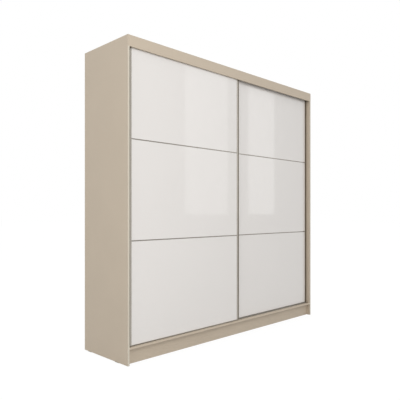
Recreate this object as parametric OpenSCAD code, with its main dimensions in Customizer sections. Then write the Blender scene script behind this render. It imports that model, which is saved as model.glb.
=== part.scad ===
// Two-door sliding wardrobe, built board by board.
// Origin: on the floor, under the centre of the whole box. +X right, -Y front, +Z up.

/* [Overall] */
// Width over both sides
wardrobe_w = 2380; // [1800:10:3000]
// Height from the floor to the top
wardrobe_h = 2360; // [1900:10:2800]
// Depth from the front edges to the back panels
wardrobe_d = 580; // [480:5:700]

/* [Boards] */
// Thickness of the carcass boards
board_t = 15; // [14:1:22]
// Thickness of the back panels
back_t = 3; // [2:0.5:5]
// Height of the header board
header_h = 82; // [60:1:110]
// Height of the underside of the bottom board
base_h = 116; // [70:1:160]
// Distance of the plinth behind the front
plinth_recess = 39; // [20:1:90]
// How far the inner boards stay behind the rear door
inner_recess = 9; // [5:1:49]
// How far the back panels stay inside the outer faces
back_inset = 2; // [1:0.5:5]

/* [Interior] */
// Clear height above the upper shelves
upper_space = 345; // [250:5:500]
// Clear width of the shelf column
column_w = 500; // [350:5:700]
// Play at each end of a column shelf
shelf_play = 1; // [0.5:0.5:2]
// Diameter of a shelf pin
pin_d = 5; // [4:0.5:6]
// Length of a shelf pin in its board
pin_sink = 7; // [5:0.5:7]
// Length of a shelf pin under its shelf
pin_reach = 8; // [6:1:12]
// Distance of the shelf pins from a shelf's front and back
pin_inset = 60; // [40:5:100]
// Outer diameter of a hanging rail
rail_d = 25; // [18:1:30]
// Wall of a hanging rail
rail_wall = 1.5; // [1:0.1:2.5]
// Distance of a rail's axis under its shelf
rail_drop = 60; // [45:1:90]
// Base diameter of a rail flange
flange_d = 44; // [38:1:60]
// Base thickness of a rail flange
flange_base = 3; // [2:0.5:5]
// Depth of a rail flange's cup
flange_cup = 12; // [8:1:18]
// Wall of a rail flange's cup
flange_wall = 3; // [2:0.5:4]

/* [Doors] */
// Depth of a door's frame
door_t = 19; // [18:0.5:20]
// How far the front door runs behind the header
door_recess = 2; // [1:0.5:7]
// Distance between the faces of the two doors
door_pitch = 25; // [25:0.5:28]
// How far the doors overlap when closed
door_overlap = 76; // [40:2:120]
// Gap between a closed door and its side
door_side_gap = 2; // [2:0.5:4]
// Space between a door's bottom and the ridges of the lower track
door_lift = 1; // [0.5:0.5:5]
// Distance of a door's top under the top board
door_headroom = 45; // [42:1:50]
// Width of a door's upright profile
stile_w = 28; // [26:1:36]
// Wall of the upright profile
stile_wall = 1.5; // [1.2:0.1:1.8]
// Width of the finger groove in the upright profile
groove_w = 10; // [8:0.5:11]
// Depth of the finger groove
groove_d = 6; // [5:0.5:7]
// Lip outside the finger groove
groove_lip = 4; // [3:0.5:4]
// How deep a pane sits in the upright profile
pane_grip = 12; // [10:0.5:12]
// Thickness of a pane
pane_t = 4; // [3:0.5:5]
// Thickness of a door's top and bottom trims
trim_t = 2; // [1.5:0.5:3]
// Height of the lower strip above the door's bottom
lower_strip_up = 752; // [600:1:900]
// Height of the upper strip above the door's bottom
upper_strip_up = 1487; // [1100:1:1600]
// Face width of a strip
strip_w = 8; // [6:0.5:12]
// Thickness of a strip's cap
strip_cap = 1; // [0.6:0.1:1.2]
// Thickness of a strip's stem
strip_stem = 2; // [1.5:0.5:3]
// Width of a brush seal
brush_w = 6; // [5:0.5:8]
// Space between a brush seal and the other door
brush_gap = 0.8; // [0.6:0.1:1.5]

/* [Running gear] */
// Thickness of the lower track's base
track_base = 1.5; // [1:0.1:1.8]
// Height of a track ridge
ridge_h = 4.5; // [4:0.1:5]
// Width of a track ridge
ridge_w = 3; // [2.5:0.1:3.2]
// Radius of a roller at the bottom of its groove
tread_r = 12; // [10:0.5:13]
// Height of a roller's rims over its groove
rim_h = 3; // [2:0.5:3.5]
// Width of a roller
roller_w = 7.6; // [7:0.1:7.8]
// Play of a roller at each side in its housing
roller_play = 0.5; // [0.3:0.1:0.8]
// Width of a roller's groove
roller_groove_w = 4; // [3.8:0.1:4.6]
// Diameter of a roller's axle
axle_d = 5; // [4:0.5:6]
// Distance of a roller's axle from its door's edge
roller_inset = 130; // [90:5:250]
// Length of a roller housing
housing_len = 60; // [50:1:80]
// Height of a roller housing
housing_h = 36; // [32:1:50]
// Wall of a roller housing
housing_wall = 1.7; // [1.4:0.1:1.8]
// Space around a roller in its housing
roller_room = 2; // [1:0.5:4]
// How far the lower track reaches past its rollers
track_margin = 3; // [1:0.5:4]
// Clear width of an upper track channel
channel_w = 14; // [13:0.5:14]
// Depth of an upper track channel
channel_d = 34; // [26:1:36]
// Wall of the upper track
channel_wall = 1.5; // [1:0.1:2]
// Play of a top guide at each side
guide_play = 1; // [0.5:0.1:1.5]
// Length of a top guide
guide_len = 40; // [30:1:60]
// Height of a top guide over its door
guide_h = 35; // [30:1:36]
// Diameter of an end bumper
bumper_d = 10; // [8:1:14]
// Distance of an end bumper from its door's top and bottom
bumper_up = 360; // [200:5:500]

/* [Fittings] */
// Height of a glide
glide_h = 3; // [2:0.5:6]
// How far a glide stays inside its board's faces
glide_inset = 1; // [0.5:0.5:3]
// Length of a glide
glide_len = 50; // [30:1:80]
// Diameter of a cam
cam_d = 15; // [12:0.5:16]
// Depth of a cam in its board
cam_depth = 12; // [10:0.5:12]
// How far a cam goes past its bolt
cam_past_bolt = 1.5; // [1:0.5:3]
// Distance of a cam's centre from its board's end
cam_reach = 34; // [24:1:40]
// Diameter of a cam's bolt
cam_bolt_d = 6; // [5:0.5:7]
// Board left between two bolts that meet
bolt_web = 1; // [0.5:0.5:3]
// Distance of the fittings from the front of the inner boards
fitting_inset = 70; // [50:5:120]
// Diameter of a confirmat screw
screw_d = 5; // [4:0.5:6]
// Diameter of a confirmat screw's head
screw_head_d = 9; // [8:0.5:10]
// Height of a confirmat screw's head
screw_head_h = 3; // [2:0.5:4]
// Length of a confirmat screw
screw_len = 50; // [40:1:60]
// Distance of the confirmat screws inside the cams
screw_offset = 30; // [20:1:60]
// Distance of each wall bracket from the centre
bracket_x = 900; // [500:10:1000]
// Width of a wall bracket
bracket_w = 40; // [30:1:60]
// Length of a wall bracket's legs
bracket_leg = 40; // [30:1:60]
// Thickness of a wall bracket
bracket_t = 2; // [1.5:0.5:3]
// Diameter of the screw hole to the wall
wall_hole_d = 7; // [5:0.5:8]

/* [Hidden] */
$fn = 48;

// Clearances
fit_gap = 0.1;       // a fixed piece in its seat
seat_gap = 0.3;      // a running piece over its seat
bore_gap = 0.05;     // radial, a roller on its axle
cut = 1;             // how far a cut runs past a face

// Colours
cashmere = [0.75, 0.70, 0.63];
white_gloss = [0.92, 0.90, 0.89];
aluminium = [0.72, 0.71, 0.68];
steel = [0.62, 0.63, 0.65];
nylon = [0.20, 0.20, 0.21];
backing = [0.86, 0.83, 0.78];

// Carcass planes
front = -wardrobe_d / 2;
rear = wardrobe_d / 2;
board_rear = rear - back_t;
front_y = front + board_t + door_recess;
inner_front = front_y + door_pitch + door_t + inner_recess;
inner_x = wardrobe_w / 2 - board_t;
half_t = board_t / 2;
bottom_top = base_h + board_t;
top_under = wardrobe_h - board_t;
upper_shelf_z = top_under - upper_space - board_t;
column_x = half_t + column_w;
inner_mid_y = (inner_front + board_rear) / 2;
plinth_y = front + plinth_recess;
support_xs = [-inner_x / 2, 0, inner_x / 2];
bracket_hole_z = top_under - bracket_leg / 2;

// Fittings
fitting_ys = [inner_front + fitting_inset, board_rear - fitting_inset];
bolt_up = cam_depth - cam_past_bolt - cam_bolt_d / 2;
bolt_sink = (board_t - bolt_web) / 2;

// Column shelves, evenly spaced
shelf_count = 4;
shelf_step = (upper_shelf_z - bottom_top + board_t) / (shelf_count + 1);
function shelf_z(i) = bottom_top + i * shelf_step - board_t;
pin_ys = [inner_front + pin_inset, board_rear - pin_inset];

// Hanging rails
rail_z = upper_shelf_z - rail_drop;

// Doors
door_w = (2 * inner_x - 2 * door_side_gap + door_overlap) / 2;
ridge_top = bottom_top + track_base + ridge_h;
door_z = ridge_top + door_lift;
door_h = top_under - door_headroom - door_z;
core_t = door_t - 2 * stile_wall - pane_t;
core_y = stile_wall + pane_t;
housing_w = roller_w + 2 * roller_play + 2 * housing_wall;
run_y = core_y + housing_w / 2;
pane_x = stile_w - pane_grip;
strip_half = strip_stem / 2 + fit_gap;
left_x = -inner_x + door_side_gap;
right_x = inner_x - door_side_gap - door_w;
track_ys = [front_y + run_y, front_y + door_pitch + run_y];

// Rollers
axle_up = ridge_top + seat_gap + tread_r - door_z;
roller_xs = [roller_inset, door_w - roller_inset];

// ---------------------------------------------------------------- shared shapes

// A box between two corners
module slab(low, high) {
    translate(low) cube(high - low);
}

// A profile drawn in Y and Z, run along X from x0 to x1
module along_x(x0, x1) {
    translate([x0, 0, 0]) rotate([90, 0, 90]) linear_extrude(x1 - x0) children();
}

// A round bar along X from x0 to x1
module bar_x(x0, x1, y, z, d) {
    translate([x0, y, z]) rotate([0, 90, 0]) cylinder(d = d, h = x1 - x0);
}

// A round bar along Y from y0 to y1
module bar_y(y0, y1, x, z, d) {
    translate([x, y1, z]) rotate([90, 0, 0]) cylinder(d = d, h = y1 - y0);
}

// ---------------------------------------------------------------- cam fittings

// Each row: the board's end, the way out of the board, the board's underside
function side_ends(z) = [[-inner_x, -1, z], [inner_x, 1, z]];
top_ends = side_ends(top_under);
bottom_ends = side_ends(base_h);
shelf_left_ends = [[-inner_x, -1, upper_shelf_z], [-half_t, 1, upper_shelf_z]];
shelf_right_ends = [[half_t, -1, upper_shelf_z], [inner_x, 1, upper_shelf_z]];
cam_ends = concat(top_ends, bottom_ends, shelf_left_ends, shelf_right_ends);

// Both fittings at one end, grown by play: the cam from below and its bolt along X
module cam_pair(end, play) {
    for (y = fitting_ys) {
        translate([end[0] - end[1] * cam_reach, y, end[2] - (play > 0 ? cut : 0)])
            cylinder(d = cam_d - 2 * fit_gap + 2 * play,
                     h = cam_depth - fit_gap + play + (play > 0 ? cut : 0));
        inward = cam_reach - (play > 0 ? 0 : cam_d / 2 + seat_gap);
        outward = bolt_sink - fit_gap + play;
        x0 = end[1] < 0 ? end[0] - outward : end[0] - inward;
        bar_x(x0, x0 + inward + outward, y, end[2] + bolt_up, cam_bolt_d - 2 * fit_gap + 2 * play);
    }
}

module cam_holes(ends) {
    for (end = ends) cam_pair(end, fit_gap);
}

module cam_fittings() {
    color(steel) for (end = cam_ends) cam_pair(end, 0);
}

// ---------------------------------------------------------------- confirmat screws

// Each row: X, the head's face, and the way the screw points
screw_rows = [
    [0, wardrobe_h, -1],
    [0, base_h, 1],
    [column_x + half_t, base_h, 1],
    [column_x + half_t, upper_shelf_z + board_t, -1]
];

module screw_set(play) {
    for (row = screw_rows, y = fitting_ys + [screw_offset, -screw_offset])
        translate([row[0], y, row[1]]) mirror([0, 0, row[2] < 0 ? 1 : 0]) {
            translate([0, 0, -(play > 0 ? cut : 0)])
                cylinder(d = screw_head_d + 2 * play, h = screw_head_h + play + (play > 0 ? cut : 0));
            cylinder(d = screw_d + 2 * play, h = screw_len + play);
        }
}

module confirmat_screws() {
    color(steel) screw_set(0);
}

// ---------------------------------------------------------------- carcass

module side_board() {
    color(cashmere) difference() {
        slab([inner_x, front, glide_h], [wardrobe_w / 2, board_rear, wardrobe_h]);
        slab([inner_x - cut, front - cut, wardrobe_h - header_h],
             [wardrobe_w / 2 + cut, front + board_t, wardrobe_h + cut]);
        cam_holes(cam_ends);
    }
}

module side_right() {
    side_board();
}

module side_left() {
    mirror([1, 0, 0]) side_board();
}

module pin_holes(x0, x1) {
    for (i = [1 : shelf_count], y = pin_ys)
        bar_x(x0, x1, y, shelf_z(i) - pin_d / 2 - fit_gap, pin_d + 2 * fit_gap);
}

module centre_divider() {
    color(cashmere) difference() {
        slab([-half_t, inner_front, bottom_top], [half_t, board_rear, top_under]);
        cam_holes(concat(shelf_left_ends, shelf_right_ends));
        screw_set(fit_gap);
        pin_holes(half_t - pin_sink, half_t + cut);
    }
}

module partition() {
    color(cashmere) difference() {
        slab([column_x, inner_front, bottom_top], [column_x + board_t, board_rear, upper_shelf_z]);
        screw_set(fit_gap);
        pin_holes(column_x - cut, column_x + pin_sink);
    }
}

module top_board() {
    color(cashmere) difference() {
        slab([-inner_x, front + board_t, top_under], [inner_x, board_rear, wardrobe_h]);
        cam_holes(top_ends);
        screw_set(fit_gap);
    }
}

module bottom_board() {
    color(cashmere) difference() {
        slab([-inner_x, front, base_h], [inner_x, board_rear, bottom_top]);
        cam_holes(bottom_ends);
        screw_set(fit_gap);
    }
}

module header() {
    color(cashmere)
        slab([-wardrobe_w / 2, front, wardrobe_h - header_h], [wardrobe_w / 2, front + board_t, wardrobe_h]);
}

module plinth_front() {
    color(cashmere) slab([-inner_x, plinth_y, glide_h], [inner_x, plinth_y + board_t, base_h]);
}

module plinth_back() {
    color(cashmere) slab([-inner_x, board_rear - board_t, glide_h], [inner_x, board_rear, base_h]);
}

module plinth_supports() {
    color(cashmere) for (x = support_xs) difference() {
        slab([x - half_t, plinth_y + board_t, glide_h], [x + half_t, board_rear - board_t, base_h]);
        screw_set(fit_gap);
    }
}

module wall_holes() {
    for (x = [-bracket_x, bracket_x])
        bar_y(board_rear - bracket_t - cut, rear + cut, x, bracket_hole_z, wall_hole_d);
}

module back_panel_right() {
    color(backing) difference() {
        slab([fit_gap, board_rear, base_h], [wardrobe_w / 2 - back_inset, rear, wardrobe_h - back_inset]);
        wall_holes();
    }
}

module back_panel_left() {
    mirror([1, 0, 0]) back_panel_right();
}

module upper_shelf(x0, x1, ends) {
    color(cashmere) difference() {
        slab([x0, inner_front, upper_shelf_z], [x1, board_rear, upper_shelf_z + board_t]);
        cam_holes(ends);
        screw_set(fit_gap);
    }
}

module column_shelf(i) {
    color(cashmere)
        slab([half_t + shelf_play, inner_front, shelf_z(i)],
             [column_x - shelf_play, board_rear, shelf_z(i) + board_t]);
}

module shelf_pins() {
    color(steel) for (i = [1 : shelf_count], y = pin_ys) {
        z = shelf_z(i) - pin_d / 2 - fit_gap;
        bar_x(half_t - pin_sink + fit_gap, half_t + pin_reach, y, z, pin_d);
        bar_x(column_x - pin_reach, column_x + pin_sink - fit_gap, y, z, pin_d);
    }
}

module hanging_rail(x0, x1) {
    end_gap = flange_base + fit_gap;
    color(steel) difference() {
        bar_x(x0 + end_gap, x1 - end_gap, inner_mid_y, rail_z, rail_d);
        bar_x(x0, x1, inner_mid_y, rail_z, rail_d - 2 * rail_wall);
    }
}

// A flange on a face at x, with its cup pointing along way
module rail_flange(x, way) {
    translate([x, inner_mid_y, rail_z]) rotate([0, 90 * way, 0]) difference() {
        union() {
            cylinder(d = flange_d, h = flange_base);
            cylinder(d = rail_d + 2 * fit_gap + 2 * flange_wall, h = flange_base + flange_cup);
        }
        translate([0, 0, flange_base]) cylinder(d = rail_d + 2 * fit_gap, h = flange_cup + cut);
    }
}

module rail_flanges() {
    color(steel) {
        rail_flange(-inner_x, 1);
        rail_flange(-half_t, -1);
        rail_flange(column_x + board_t, 1);
        rail_flange(inner_x, -1);
    }
}

module glides() {
    glide_w = board_t - 2 * glide_inset;
    xs = concat([-inner_x - half_t, inner_x + half_t], support_xs);
    color(nylon) for (x = xs, y = fitting_ys)
        slab([x - glide_w / 2, y - glide_len / 2, 0], [x + glide_w / 2, y + glide_len / 2, glide_h]);
}

module wall_brackets() {
    color(steel) difference() {
        for (x = [-bracket_x, bracket_x]) translate([x - bracket_w / 2, board_rear, top_under]) {
            slab([0, -bracket_t, -bracket_leg], [bracket_w, 0, 0]);
            slab([0, -bracket_leg, -bracket_t], [bracket_w, 0, 0]);
        }
        wall_holes();
    }
}

// ---------------------------------------------------------------- tracks

module lower_track() {
    edge = roller_w / 2 + track_margin;
    color(aluminium) along_x(-inner_x + fit_gap, inner_x - fit_gap) {
        translate([track_ys[0] - edge, bottom_top])
            square([track_ys[1] - track_ys[0] + 2 * edge, track_base]);
        for (y = track_ys) translate([y - ridge_w / 2, bottom_top])
            square([ridge_w, track_base + ridge_h]);
    }
}

module upper_track() {
    edge = channel_w / 2 + channel_wall;
    color(aluminium) along_x(-inner_x + fit_gap, inner_x - fit_gap) {
        translate([track_ys[0] - edge, top_under - channel_wall])
            square([track_ys[1] - track_ys[0] + 2 * edge, channel_wall]);
        for (y = track_ys, side = [-edge, channel_w / 2]) translate([y + side, top_under - channel_d])
            square([channel_wall, channel_d]);
    }
}

module end_bumpers() {
    thick = door_side_gap - seat_gap;
    color(nylon) for (y = track_ys, z = [door_z + bumper_up, door_z + door_h - bumper_up]) {
        bar_x(-inner_x, -inner_x + thick, y, z, bumper_d);
        bar_x(inner_x - thick, inner_x, y, z, bumper_d);
    }
}

// ---------------------------------------------------------------- door pieces
// Each is drawn from the door's front lower left corner, and at_door() puts it in place.

module at_door(right) {
    translate([right ? right_x : left_x, front_y + (right ? door_pitch : 0), door_z]) children();
}

module door_core() {
    color(backing) difference() {
        slab([pane_x + fit_gap, core_y, trim_t],
             [door_w - pane_x - fit_gap, core_y + core_t, door_h - trim_t]);
        for (x = roller_xs)
            slab([x - housing_len / 2 - fit_gap, core_y - cut, 0],
                 [x + housing_len / 2 + fit_gap, core_y + core_t + cut, housing_h + fit_gap]);
    }
}

module door_pane(z0, z1) {
    color(white_gloss)
        slab([pane_x + fit_gap, stile_wall, z0], [door_w - pane_x - fit_gap, core_y, z1]);
}

module door_strip(z) {
    color(aluminium) {
        slab([stile_w + fit_gap, stile_wall - strip_cap, z - strip_w / 2],
             [door_w - stile_w - fit_gap, stile_wall, z + strip_w / 2]);
        slab([pane_x + fit_gap, stile_wall, z - strip_stem / 2],
             [door_w - pane_x - fit_gap, core_y, z + strip_stem / 2]);
    }
}

// The upright profile, with its outer edge at x = 0
module stile() {
    color(aluminium) linear_extrude(door_h) difference() {
        square([stile_w, door_t]);
        translate([pane_x, stile_wall]) square([pane_grip + cut, door_t - 2 * stile_wall]);
        translate([groove_lip, -cut]) square([groove_w, groove_d + cut]);
        translate([stile_wall, groove_d + stile_wall])
            square([pane_x - 2 * stile_wall, door_t - groove_d - 2 * stile_wall]);
    }
}

module door_stile(right_edge) {
    if (right_edge) translate([door_w, 0, 0]) mirror([1, 0, 0]) stile();
    else stile();
}

module door_top_trim() {
    color(aluminium)
        slab([pane_x + fit_gap, stile_wall, door_h - trim_t],
             [door_w - pane_x - fit_gap, door_t - stile_wall, door_h]);
}

module door_bottom_trim() {
    color(aluminium) difference() {
        slab([pane_x + fit_gap, stile_wall, 0], [door_w - pane_x - fit_gap, door_t - stile_wall, trim_t]);
        for (x = roller_xs)
            slab([x - housing_len / 2 - fit_gap, core_y, -cut],
                 [x + housing_len / 2 + fit_gap, door_t, trim_t + cut]);
    }
}

module roller_housings() {
    space = tread_r + rim_h + roller_room;
    color(nylon) for (x = roller_xs) {
        difference() {
            slab([x - housing_len / 2, core_y + fit_gap, 0],
                 [x + housing_len / 2, core_y + housing_w - fit_gap, housing_h]);
            slab([x - space, core_y + housing_wall, -cut],
                 [x + space, core_y + housing_w - housing_wall, axle_up + space]);
        }
        bar_y(core_y + fit_gap, core_y + housing_w - fit_gap, x, axle_up, axle_d);
    }
}

module door_roller(i) {
    color(nylon) translate([roller_xs[i], run_y, axle_up]) rotate([90, 0, 0]) difference() {
        cylinder(r = tread_r + rim_h, h = roller_w, center = true);
        difference() {
            cylinder(r = tread_r + rim_h + cut, h = roller_groove_w, center = true);
            cylinder(r = tread_r, h = roller_groove_w + cut, center = true);
        }
        cylinder(r = axle_d / 2 + bore_gap, h = roller_w + 2 * cut, center = true);
    }
}

module door_top_guides() {
    half_w = channel_w / 2 - guide_play;
    color(nylon) for (x = roller_xs)
        slab([x - guide_len / 2, run_y - half_w, door_h],
             [x + guide_len / 2, run_y + half_w, door_h + guide_h]);
}

// The brush fills the space between the doors on the edge that overlaps
module door_brush(right) {
    deep = door_pitch - door_t - brush_gap;
    x = pane_x + pane_grip / 2 - brush_w / 2;
    x0 = right ? x : door_w - x - brush_w;
    y0 = right ? -deep : door_t;
    color(nylon) slab([x0, y0, 0], [x0 + brush_w, y0 + deep, door_h]);
}

// ---------------------------------------------------------------- nodes

side_left();
side_right();
centre_divider();
partition();
top_board();
bottom_board();
header();
plinth_front();
plinth_back();
plinth_supports();
back_panel_left();
back_panel_right();
upper_shelf(-inner_x, -half_t, shelf_left_ends);  // upper_shelf_left
upper_shelf(half_t, inner_x, shelf_right_ends);  // upper_shelf_right
for (i = [1 : shelf_count])
    column_shelf(i);
shelf_pins();
hanging_rail(-inner_x, -half_t);  // hanging_rail_left
hanging_rail(column_x + board_t, inner_x);  // hanging_rail_right
rail_flanges();
cam_fittings();
confirmat_screws();
lower_track();
upper_track();
end_bumpers();
glides();
wall_brackets();
for (right = [false, true]) {
    door = right ? "right_door_" : "left_door_";
    at_door(right) {
        door_core();
        door_pane(trim_t, lower_strip_up - strip_half);
        door_pane(lower_strip_up + strip_half, upper_strip_up - strip_half);
        door_pane(upper_strip_up + strip_half, door_h - trim_t);
        door_strip(lower_strip_up);
        door_strip(upper_strip_up);
        door_stile(false);
        door_stile(true);
        door_top_trim();
        door_bottom_trim();
        roller_housings();
        door_roller(0);
        door_roller(1);
        door_top_guides();
        door_brush(right);
    }
}
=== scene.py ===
"""Looks of the two-door sliding wardrobe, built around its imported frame."""

import math

import bmesh
import bpy
from mathutils import Matrix, Vector


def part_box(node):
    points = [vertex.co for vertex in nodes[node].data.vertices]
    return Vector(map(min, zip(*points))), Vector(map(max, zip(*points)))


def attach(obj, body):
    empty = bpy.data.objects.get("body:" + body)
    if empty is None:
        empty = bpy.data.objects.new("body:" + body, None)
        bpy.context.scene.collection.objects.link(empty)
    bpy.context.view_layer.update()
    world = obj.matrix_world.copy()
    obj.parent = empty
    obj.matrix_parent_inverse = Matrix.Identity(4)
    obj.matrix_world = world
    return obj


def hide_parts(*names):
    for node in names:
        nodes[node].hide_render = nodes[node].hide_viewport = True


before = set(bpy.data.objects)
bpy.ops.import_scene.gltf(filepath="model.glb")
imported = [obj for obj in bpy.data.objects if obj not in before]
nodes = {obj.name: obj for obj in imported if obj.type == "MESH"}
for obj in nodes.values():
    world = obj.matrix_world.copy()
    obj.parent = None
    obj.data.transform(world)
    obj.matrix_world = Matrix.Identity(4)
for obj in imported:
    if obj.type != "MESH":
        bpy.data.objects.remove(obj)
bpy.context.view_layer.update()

# ---------------------------------------------------------------- sizes, in metres

MM = 0.001

DOORS = ("left_door", "right_door")
CARCASS = "carcass"

# ---------------------------------------------------------------- camera

IMAGE_W = 400
SENSOR_W = 36.0
CAMERA_AT = Vector((-3.153, -2.998, 1.097))
CAMERA_YAW = math.radians(44.73)
FOCAL_SHARE = 466.6 / IMAGE_W
SHIFT_UP = 0.0303
FAR_CLIP = 100


def make_camera():
    """A level camera, so that upright edges stay upright in the picture."""
    data = bpy.data.cameras.new("camera")
    data.sensor_width = SENSOR_W
    data.lens = SENSOR_W * FOCAL_SHARE
    data.shift_y = SHIFT_UP
    data.clip_end = FAR_CLIP
    cam = bpy.data.objects.new("camera", data)
    cam.location = CAMERA_AT
    cam.rotation_euler = (math.radians(90), 0, -CAMERA_YAW)
    bpy.context.scene.collection.objects.link(cam)
    bpy.context.scene.camera = cam


make_camera()

# ---------------------------------------------------------------- colours and materials


def linear(r, g, b):
    """A display colour from 0 to 255 as the shader's linear colour."""
    def one(c):
        c /= 255
        return c / 12.92 if c <= 0.04045 else ((c + 0.055) / 1.055) ** 2.4
    return (one(r), one(g), one(b), 1)


CASHMERE = linear(194, 180, 161)
# A lighter copy of the board colour: a painted highlight for faces that look to the front.
CASHMERE_FRONT_LIT = linear(205, 197, 181)
BACKING = linear(214, 205, 190)
GLASS_WHITE = linear(224, 220, 216)
ALUMINIUM = linear(168, 162, 153)
# The strips' aluminium, painted darker than the stiles': painted shade and a painted darker reflection.
STRIP_SHADED = linear(142, 137, 129)
STEEL = linear(196, 197, 200)
NYLON = linear(92, 90, 88)
BUMPER = linear(178, 170, 158)
BRUSH = linear(120, 117, 112)


NOISE_LOW = 0.3
NOISE_HIGH = 0.7
FACES_FRONT = -0.9
# Where a Mix node keeps its colour sockets.
MIX_A = 6
MIX_B = 7
MIX_RESULT = 2


class Shader:
    """A material's node tree, with short calls for the nodes that these materials share."""

    def __init__(self, name):
        self.mat = bpy.data.materials.new(name)
        self.mat.use_nodes = True
        self.tree = self.mat.node_tree
        self.bsdf = self.tree.nodes["Principled BSDF"]
        self.coords = self.add("ShaderNodeTexCoord")

    def add(self, kind, **values):
        node = self.tree.nodes.new(kind)
        for key, value in values.items():
            setattr(node, key, value)
        return node

    def link(self, a, b):
        self.tree.links.new(a, b)

    def set(self, **values):
        for key, value in values.items():
            self.bsdf.inputs[key.replace("_", " ")].default_value = value

    def noise(self, scale, detail=3.0, stretch=(1, 1, 1)):
        """Noise at a scale per metre, stretched along an axis where stretch is small."""
        mapping = self.add("ShaderNodeMapping")
        mapping.inputs["Scale"].default_value = stretch
        self.link(self.coords.outputs["Object"], mapping.inputs["Vector"])
        noise = self.add("ShaderNodeTexNoise")
        noise.inputs["Scale"].default_value = scale
        noise.inputs["Detail"].default_value = detail
        self.link(mapping.outputs["Vector"], noise.inputs["Vector"])
        return noise.outputs["Fac"]

    def spread(self, value, low, high):
        """The usual span of a noise value, as low to high."""
        ramp = self.add("ShaderNodeMapRange")
        ramp.inputs["From Min"].default_value = NOISE_LOW
        ramp.inputs["From Max"].default_value = NOISE_HIGH
        ramp.inputs["To Min"].default_value = low
        ramp.inputs["To Max"].default_value = high
        self.link(value, ramp.inputs["Value"])
        return ramp.outputs["Result"]

    def shade(self, colour, value, low, high):
        """colour, scaled between low and high by a noise value."""
        scale = self.add("ShaderNodeVectorMath", operation="SCALE")
        if isinstance(colour, tuple):
            scale.inputs[0].default_value = colour[:3]
        else:
            self.link(colour, scale.inputs[0])
        self.link(self.spread(value, low, high), scale.inputs["Scale"])
        return scale.outputs["Vector"]

    def bump(self, value, strength, distance):
        bump = self.add("ShaderNodeBump")
        bump.inputs["Strength"].default_value = strength
        bump.inputs["Distance"].default_value = distance
        self.link(value, bump.inputs["Height"])
        self.link(bump.outputs["Normal"], self.bsdf.inputs["Normal"])

    def colour(self, socket):
        self.link(socket, self.bsdf.inputs["Base Color"])

    def roughness(self, value, low, high):
        self.link(self.spread(value, low, high), self.bsdf.inputs["Roughness"])


def board_material(name, face, front_lit=None):
    """Matt melamine: a fine pore, a faint cloudiness, and faces that look to the front painted lighter, a
    painted highlight on front edges.
    """
    s = Shader(name)
    base = face
    # Faces that look to the front take the lighter colour: painted light on the front edges.
    if front_lit:
        geometry = s.add("ShaderNodeNewGeometry")
        split = s.add("ShaderNodeSeparateXYZ")
        s.link(geometry.outputs["True Normal"], split.inputs["Vector"])
        facing = s.add("ShaderNodeMath", operation="LESS_THAN")
        facing.inputs[1].default_value = FACES_FRONT
        s.link(split.outputs["Y"], facing.inputs[0])
        mix = s.add("ShaderNodeMix", data_type="RGBA")
        mix.inputs[MIX_A].default_value = face
        mix.inputs[MIX_B].default_value = front_lit
        s.link(facing.outputs[0], mix.inputs[0])
        base = mix.outputs[MIX_RESULT]
    s.colour(s.shade(base, s.noise(3.5, 4), 0.985, 1.015))
    pore = s.noise(1400, 2, (1, 1, 0.35))
    s.roughness(pore, 0.44, 0.56)
    s.bump(pore, 0.18, 0.15 * MM)
    s.set(Specular_IOR_Level=0.4)
    return s.mat


def glass_material():
    """White glass painted on the back: a hard gloss with a very faint roll in its surface."""
    s = Shader("white_glass")
    s.colour(s.shade(GLASS_WHITE, s.noise(1.6, 2), 0.995, 1.005))
    s.roughness(s.noise(60, 2), 0.035, 0.06)
    s.bump(s.noise(2.2, 1), 0.05, 1 * MM)
    s.set(IOR=1.52, Coat_Weight=0.4, Coat_Roughness=0.02)
    return s.mat


AXIS_X = 0
AXIS_Z = 2
LINE_STRETCH = 0.006


def brushed_material(name, base, along, low=0.24, high=0.36):
    """Satin metal with fine lines along one axis."""
    s = Shader(name)
    stretch = [1, 1, 1]
    stretch[along] = LINE_STRETCH
    lines = s.noise(1800, 2, stretch)
    s.colour(s.shade(base, lines, 0.95, 1.05))
    s.roughness(lines, low, high)
    s.bump(lines, 0.10, 0.05 * MM)
    s.set(Metallic=1.0)
    return s.mat


def zinc_material():
    """Zinc plate on small parts: a soft mottle and a satin shine."""
    s = Shader("zinc_plate")
    s.colour(s.shade(STEEL, s.noise(420, 3), 0.88, 1.06))
    s.roughness(s.noise(900, 2), 0.22, 0.4)
    s.set(Metallic=1.0)
    return s.mat


def plastic_material(name, base):
    """Moulded plastic with a fine spark-eroded grain."""
    s = Shader(name)
    grain = s.noise(2600, 2)
    s.colour(s.shade(base, s.noise(30, 2), 0.96, 1.04))
    s.roughness(grain, 0.42, 0.58)
    s.bump(grain, 0.2, 0.08 * MM)
    return s.mat


def pile_material():
    """The pile of a brush seal: soft and streaked across its length."""
    s = Shader("pile")
    fibre = s.noise(3200, 2, (1, 0.1, 1))
    s.colour(s.shade(BRUSH, fibre, 0.8, 1.15))
    s.roughness(fibre, 0.8, 0.95)
    s.bump(fibre, 0.4, 0.3 * MM)
    s.set(Sheen_Weight=0.3)
    return s.mat


cashmere = board_material("cashmere_board", CASHMERE)
cashmere_front_lit = board_material("cashmere_front_lit", CASHMERE, CASHMERE_FRONT_LIT)
backing = board_material("backing_board", BACKING)
glass = glass_material()
aluminium_up = brushed_material("aluminium_upright", ALUMINIUM, AXIS_Z)
aluminium_along = brushed_material("aluminium_along", ALUMINIUM, AXIS_X)
# A darker copy of the aluminium for the strips between panes: painted shade.
strip_metal_shaded = brushed_material("strip_metal_shaded", STRIP_SHADED, AXIS_X)
steel = brushed_material("zinc_steel", STEEL, AXIS_X, 0.14, 0.24)
steel_plain = zinc_material()
nylon = plastic_material("nylon", NYLON)
bumper = plastic_material("bumper", BUMPER)
pile = pile_material()

# ---------------------------------------------------------------- the carried-over nodes

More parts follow.
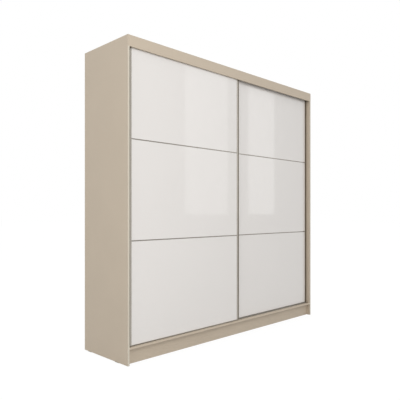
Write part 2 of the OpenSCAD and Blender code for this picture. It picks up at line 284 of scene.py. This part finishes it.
FACE_BOARDS = ("header", "bottom_board", "plinth_front", "plinth_back", "plinth_supports")
# Boards whose front edges carry the painted highlight.
FRONT_LIT_BOARDS = (
    "side_left", "side_right", "centre_divider", "partition", "top_board",
    "upper_shelf_left", "upper_shelf_right", "shelf_1", "shelf_2", "shelf_3", "shelf_4",
)
BACKS = ("back_panel_left", "back_panel_right")
STEEL_NODES = (
    "shelf_pins", "hanging_rail_left", "hanging_rail_right", "rail_flanges", "cam_fittings",
    "confirmat_screws", "wall_brackets",
)


BOARD_EDGE = 0.8 * MM
THIN_EDGE = 0.4 * MM
PANE_EDGE = 0.5 * MM
TRACK_EDGE = 0.2 * MM
TRIM_EDGE = 0.15 * MM
EDGE_SEGMENTS = 2
SHARP_ANGLE = math.radians(50)


def dress(name, material, edge=0.0):
    """Gives a node its material, and rounds its sharp edges by edge metres."""
    obj = nodes[name]
    obj.data.materials.clear()
    obj.data.materials.append(material)
    if edge:
        bevel = obj.modifiers.new("edge", "BEVEL")
        bevel.width = edge
        bevel.segments = EDGE_SEGMENTS
        bevel.limit_method = "ANGLE"
        bevel.angle_limit = SHARP_ANGLE
        bevel.harden_normals = True
        bevel.use_clamp_overlap = True


def dress_all():
    for name in FACE_BOARDS:
        dress(name, cashmere, BOARD_EDGE)
    for name in FRONT_LIT_BOARDS:
        dress(name, cashmere_front_lit, BOARD_EDGE)
    for name in BACKS:
        dress(name, backing, THIN_EDGE)
    for name in STEEL_NODES:
        dress(name, steel)
    dress("glides", nylon)
    dress("end_bumpers", bumper)
    for name in ("lower_track", "upper_track"):
        dress(name, aluminium_along, TRACK_EDGE)
    for door in DOORS:
        dress(f"{door}_core", backing)
        for row in ("bottom", "middle", "top"):
            dress(f"{door}_pane_{row}", glass, PANE_EDGE)
        for name in ("strip_lower", "strip_upper"):
            dress(f"{door}_{name}", strip_metal_shaded, TRIM_EDGE)
        for name in ("top_trim", "bottom_trim"):
            dress(f"{door}_{name}", aluminium_along, TRIM_EDGE)
        for edge in ("left", "right"):
            dress(f"{door}_stile_{edge}", aluminium_up, THIN_EDGE)
            dress(f"{door}_roller_{edge}", nylon)
        for name in ("roller_housings", "top_guides"):
            dress(f"{door}_{name}", nylon, THIN_EDGE)


dress_all()

# ---------------------------------------------------------------- mesh helpers


def new_object(name, bm, material, body):
    """A piece made from bm, riding on a body."""
    mesh = bpy.data.meshes.new(name)
    bm.to_mesh(mesh)
    bm.free()
    mesh.materials.append(material)
    obj = bpy.data.objects.new(name, mesh)
    bpy.context.scene.collection.objects.link(obj)
    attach(obj, body)
    return obj


def add_box(bm, low, high):
    """A box from low to high."""
    verts = []
    for y in (low[1], high[1]):
        for x, z in ((low[0], low[2]), (high[0], low[2]), (high[0], high[2]), (low[0], high[2])):
            verts.append(bm.verts.new((x, y, z)))
    faces = ((0, 1, 2, 3), (7, 6, 5, 4), (0, 4, 5, 1), (1, 5, 6, 2), (2, 6, 7, 3), (3, 7, 4, 0))
    for face in faces:
        bm.faces.new([verts[i] for i in face])


# ---------------------------------------------------------------- brush seals

TUFT_STEP = 4 * MM
TUFT_GAP = 0.5 * MM
BRUSH_BASE = 1.2 * MM
TUFT_ROWS = 2


def brush_seal(door):
    """Rows of tufts on a base strip, in the space of the node that they replace."""
    node = f"{door}_brush_seal"
    low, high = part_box(node)
    toward_front = door == "right_door"
    base_y = (high.y - BRUSH_BASE, high.y) if toward_front else (low.y, low.y + BRUSH_BASE)
    tuft_y = (low.y, high.y - BRUSH_BASE) if toward_front else (low.y + BRUSH_BASE, high.y)
    bm = bmesh.new()
    add_box(bm, (low.x, base_y[0], low.z), (high.x, base_y[1], high.z))
    row_w = (high.x - low.x) / TUFT_ROWS
    count = int((high.z - low.z) / TUFT_STEP)
    step = (high.z - low.z) / count
    for row in range(TUFT_ROWS):
        x0 = low.x + row * row_w + TUFT_GAP / 2
        for i in range(count):
            z0 = low.z + i * step + TUFT_GAP / 2
            x1, z1 = x0 + row_w - TUFT_GAP, z0 + step - TUFT_GAP
            add_box(bm, (x0, tuft_y[0], z0), (x1, tuft_y[1], z1))
    bmesh.ops.recalc_face_normals(bm, faces=bm.faces)
    obj = new_object(f"{door}_brush_pile", bm, pile, door)
    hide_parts(node)


for door in DOORS:
    brush_seal(door)

# ---------------------------------------------------------------- heads of screws, cams and nails

CROSS = "cross"
HEXAGON = "hexagon"
CROSS_ARM_SHARE = 0.24
HEAD_SIDES = 24


def polygon(radius, sides):
    turns = [2 * math.pi * i / sides for i in range(sides)]
    return [(radius * math.cos(turn), radius * math.sin(turn)) for turn in turns]


def recess_outline(kind, size):
    """The outline of a driver's recess: a cross with arms of size, or a hexagon of that radius."""
    if kind == HEXAGON:
        return polygon(size, 6)
    arm = size * CROSS_ARM_SHARE
    quarter = [(arm, arm), (arm, size), (-arm, size)]
    points = []
    for i in range(4):
        cos, sin = math.cos(math.pi / 2 * i), math.sin(math.pi / 2 * i)
        points += [(x * cos - y * sin, x * sin + y * cos) for x, y in quarter]
    return points


def add_head(bm, at, out, radius, height, rim, kind, size, depth):
    """A screw or cam head at a point, facing out, with a driver's recess sunk into it."""
    place = Matrix.Translation(at) @ out.to_track_quat("Z", "Y").to_matrix().to_4x4()

    def ring(points, z):
        return [bm.verts.new(place @ Vector((x, y, z))) for x, y in points]

    def wall(low, high):
        count = len(low)
        for i in range(count):
            j = (i + 1) % count
            bm.faces.new((low[i], low[j], high[j], high[i]))

    foot = ring(polygon(radius, HEAD_SIDES), 0)
    shoulder = ring(polygon(radius, HEAD_SIDES), height - rim)
    crown = ring(polygon(radius - rim, HEAD_SIDES), height)
    wall(foot, shoulder)
    wall(shoulder, crown)
    bm.faces.new(list(reversed(foot)))
    outline = recess_outline(kind, size)
    mouth = ring(outline, height)
    floor = ring(outline, height - depth)
    wall(mouth, floor)
    bm.faces.new(floor)
    loops = []
    for loop in (crown, mouth):
        for i, vert in enumerate(loop):
            other = loop[(i + 1) % len(loop)]
            loops.append(bm.edges.get((vert, other)) or bm.edges.new((vert, other)))
    bmesh.ops.triangle_fill(bm, use_beauty=True, use_dissolve=False, edges=loops)


def head_group(name, rows, kind, radius, height, rim, size, depth):
    """One piece that holds the heads at every (place, direction) in rows. Sizes are in mm."""
    bm = bmesh.new()
    for at, out in rows:
        add_head(bm, Vector(at), Vector(out), radius * MM, height * MM, rim * MM, kind, size * MM, depth * MM)
    bmesh.ops.recalc_face_normals(bm, faces=bm.faces)
    new_object(name, bm, steel_plain, CARCASS)


def spaced(low, high, count, inset):
    """count places from low to high, the first and last inset from the ends."""
    step = (high - low - 2 * inset) / (count - 1)
    return [low + inset + i * step for i in range(count)]


FIT = 0.1 * MM
FLANGE_SCREW_UP = 19 * MM
BRACKET_W = 40 * MM
BRACKET_T = 2 * MM
BRACKET_SCREW_X = 11 * MM
BRACKET_SCREW_IN = 26 * MM
TRACK_SCREWS = 7
TRACK_SCREW_INSET = 90 * MM
TRACK_BASE = 1.5 * MM
FITTING_INSET = 70 * MM
CAM_REACH = 34 * MM
SCREW_OFFSET = 30 * MM
BOARD_T = 15 * MM


def flange_screws():
    rows = []
    for side in ("left", "right"):
        low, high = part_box(f"hanging_rail_{side}")
        middle = (low + high) / 2
        for x, way in ((low.x - FIT, 1), (high.x + FIT, -1)):
            for up in (-FLANGE_SCREW_UP, FLANGE_SCREW_UP):
                rows.append(((x, middle.y, middle.z + up), (way, 0, 0)))
    head_group("flange_screw_heads", rows, CROSS, radius=2.7, height=1.1, rim=0.7, size=1.6, depth=0.8)


def bracket_screws():
    low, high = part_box("wall_brackets")
    rows = []
    for x in (low.x + BRACKET_W / 2, high.x - BRACKET_W / 2):
        for off in (-BRACKET_SCREW_X, BRACKET_SCREW_X):
            rows.append(((x + off, high.y - BRACKET_SCREW_IN, high.z - BRACKET_T), (0, 0, -1)))
    head_group("bracket_screw_heads", rows, CROSS, radius=3.6, height=1.6, rim=1.0, size=2.2, depth=1.1)


def track_screws():
    rows = []
    for name, way in (("lower_track", 1), ("upper_track", -1)):
        low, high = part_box(name)
        y = (low.y + high.y) / 2
        z = low.z + TRACK_BASE if way > 0 else high.z - TRACK_BASE
        for x in spaced(low.x, high.x, TRACK_SCREWS, TRACK_SCREW_INSET):
            rows.append(((x, y, z), (0, 0, way)))
    head_group("track_screw_heads", rows, CROSS, radius=2.9, height=1.0, rim=0.7, size=1.7, depth=0.8)


def fitting_ys():
    low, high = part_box("upper_shelf_left")
    return low.y + FITTING_INSET, high.y - FITTING_INSET


def cam_faces():
    rows = []
    for name in ("top_board", "bottom_board", "upper_shelf_left", "upper_shelf_right"):
        low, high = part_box(name)
        for x in (low.x + CAM_REACH, high.x - CAM_REACH):
            rows += [((x, y, low.z), (0, 0, -1)) for y in fitting_ys()]
    head_group("cam_faces", rows, CROSS, radius=7.2, height=0.3, rim=0.2, size=3.6, depth=0.25)


def confirmat_faces():
    front, back = fitting_ys()
    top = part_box("top_board")[1].z
    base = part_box("bottom_board")[0].z
    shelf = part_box("upper_shelf_right")[1].z
    low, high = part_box("partition")
    column = (low.x + high.x) / 2
    rows = []
    for y in (front + SCREW_OFFSET, back - SCREW_OFFSET):
        rows += [((0, y, top), (0, 0, 1)), ((0, y, base), (0, 0, -1)),
                 ((column, y, base), (0, 0, -1)), ((column, y, shelf), (0, 0, 1))]
    head_group("confirmat_faces", rows, HEXAGON, radius=4.3, height=0.3, rim=0.2, size=2.3, depth=0.25)


NAIL_STEP = 150 * MM
NAIL_R = 2.4 * MM
NAIL_RISE = 0.4 * MM
NAIL_INSET = 5.5 * MM
NAIL_SIDES = 12
# Each ring of a nail head, as shares of its radius and rise.
NAIL_RINGS = ((1.0, 0.0), (0.96, 0.6), (0.6, 1.0))


def add_nail(bm, x, y, z):
    """A flat nail head, domed a little, on a face that looks along +Y."""
    rings = []
    for share, rise in NAIL_RINGS:
        points = polygon(NAIL_R * share, NAIL_SIDES)
        rings.append([bm.verts.new((x + dx, y + NAIL_RISE * rise, z + dz)) for dx, dz in points])
    for low, high in zip(rings, rings[1:]):
        for i in range(NAIL_SIDES):
            j = (i + 1) % NAIL_SIDES
            bm.faces.new((low[i], low[j], high[j], high[i]))
    bm.faces.new(rings[-1])
    bm.faces.new(list(reversed(rings[0])))


def nail_line(bm, start, end, y):
    """Nails a step apart from start to end, both (x, z)."""
    length = math.hypot(end[0] - start[0], end[1] - start[1])
    count = max(2, round(length / NAIL_STEP) + 1)
    for i in range(count):
        t = i / (count - 1)
        add_nail(bm, start[0] + (end[0] - start[0]) * t, y, start[1] + (end[1] - start[1]) * t)


def back_nails():
    """Nails round each back panel, and along the upper shelf and the partition behind it."""
    bm = bmesh.new()
    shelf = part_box("upper_shelf_left")
    shelf_z = (shelf[0].z + shelf[1].z) / 2
    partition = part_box("partition")
    partition_x = (partition[0].x + partition[1].x) / 2
    for side in ("left", "right"):
        low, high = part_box(f"back_panel_{side}")
        x0, x1 = low.x + NAIL_INSET, high.x - NAIL_INSET
        if side == "left":
            x1 = high.x - BOARD_T / 4
        else:
            x0 = low.x + BOARD_T / 4
        z0, z1 = low.z + BOARD_T / 2, high.z - NAIL_INSET
        inner0, inner1 = x0 + NAIL_STEP, x1 - NAIL_STEP
        nail_line(bm, (x0, z0), (x0, z1), high.y)
        nail_line(bm, (x1, z0), (x1, z1), high.y)
        for z in (z0, shelf_z, z1):
            nail_line(bm, (inner0, z), (inner1, z), high.y)
        if side == "right":
            nail_line(bm, (partition_x, z0 + NAIL_STEP), (partition_x, shelf_z - NAIL_STEP), high.y)
    bmesh.ops.recalc_face_normals(bm, faces=bm.faces)
    new_object("back_nails", bm, steel_plain, CARCASS)


flange_screws()
bracket_screws()
track_screws()
cam_faces()
confirmat_faces()
back_nails()

# ---------------------------------------------------------------- stage and light

FLOOR_SIZE = 80
FLOOR_TONE = (0.5, 0.5, 0.5, 1)
FLOOR_GLOW_SHARE = 0.86
FLOOR_GLOW = 1.10


def seen_directly(tree):
    """A socket that is 1 for rays from the camera, from a reflection or through a clear piece."""
    path = tree.nodes.new("ShaderNodeLightPath")
    value = path.outputs["Is Camera Ray"]
    for name in ("Is Glossy Ray", "Is Transmission Ray"):
        either = tree.nodes.new("ShaderNodeMath")
        either.operation = "MAXIMUM"
        tree.links.new(value, either.inputs[0])
        tree.links.new(path.outputs[name], either.inputs[1])
        value = either.outputs[0]
    return value


def floor_material():
    """A pale floor. It glows for the camera, in reflections and through glass, and keeps the shadow."""
    s = Shader("floor")
    s.colour(s.shade(FLOOR_TONE, s.noise(1.5, 2), 0.99, 1.01))
    s.set(Roughness=0.9)
    share = s.add("ShaderNodeMath", operation="MULTIPLY")
    share.inputs[1].default_value = FLOOR_GLOW_SHARE
    s.link(seen_directly(s.tree), share.inputs[0])
    glow = s.add("ShaderNodeEmission")
    glow.inputs["Strength"].default_value = FLOOR_GLOW
    mix = s.add("ShaderNodeMixShader")
    s.link(share.outputs[0], mix.inputs[0])
    s.link(s.bsdf.outputs[0], mix.inputs[1])
    s.link(glow.outputs[0], mix.inputs[2])
    s.link(mix.outputs[0], s.tree.nodes["Material Output"].inputs["Surface"])
    return s.mat


def make_floor():
    bm = bmesh.new()
    half = FLOOR_SIZE / 2
    corners = ((-half, -half), (half, -half), (half, half), (-half, half))
    bm.faces.new([bm.verts.new((x, y, 0)) for x, y in corners])
    mesh = bpy.data.meshes.new("floor")
    bm.to_mesh(mesh)
    bm.free()
    mesh.materials.append(floor_material())
    obj = bpy.data.objects.new("floor", mesh)
    bpy.context.scene.collection.objects.link(obj)


WORLD_LIGHT = 0.72
WHITE = (1, 1, 1, 1)


def make_world():
    """An even pale studio, plain white where the camera or a reflection sees it."""
    world = bpy.data.worlds.new("studio")
    world.use_nodes = True
    tree = world.node_tree
    background = tree.nodes["Background"]
    strength = tree.nodes.new("ShaderNodeMapRange")
    strength.inputs["To Min"].default_value = WORLD_LIGHT
    strength.inputs["To Max"].default_value = 1.0
    tree.links.new(seen_directly(tree), strength.inputs["Value"])
    tree.links.new(strength.outputs["Result"], background.inputs["Strength"])
    background.inputs["Color"].default_value = WHITE
    bpy.context.scene.world = world


def softbox(name, at, target, size, radiance, reflected=False):
    """A rectangular lamp that the camera doesn't see. It lights surfaces, or else only shows in gloss."""
    data = bpy.data.lights.new(name, "AREA")
    data.shape = "RECTANGLE"
    data.size, data.size_y = size
    data.energy = math.pi * size[0] * size[1] * radiance
    obj = bpy.data.objects.new(name, data)
    obj.location = at
    obj.rotation_euler = (Vector(target) - Vector(at)).to_track_quat("-Z", "Y").to_euler()
    obj.visible_camera = False
    obj.visible_diffuse = not reflected
    obj.visible_glossy = reflected
    bpy.context.scene.collection.objects.link(obj)


make_floor()
make_world()
softbox("key", (-2.6, -4.8, 2.7), (0, 0, 1.1), (3, 3), 3.85)
softbox("side", (-5.2, -1.6, 3.0), (-1.2, 0, 1.2), (2.5, 2.5), 2.4)
softbox("rear", (3.6, 5.0, 3.4), (0, 0, 1.2), (3, 3), 3.6)
# Two tall faint windows, which show only as reflections in the glossy panes.
softbox("window_left", (3.45, -4.0, 2.75), (3.45, 0, 2.75), (1.2, 3.4), 0.6, reflected=True)
softbox("window_right", (5.25, -4.0, 2.75), (5.25, 0, 2.75), (0.95, 3.4), 0.75, reflected=True)

scene = bpy.context.scene
scene.view_settings.view_transform = "Standard"
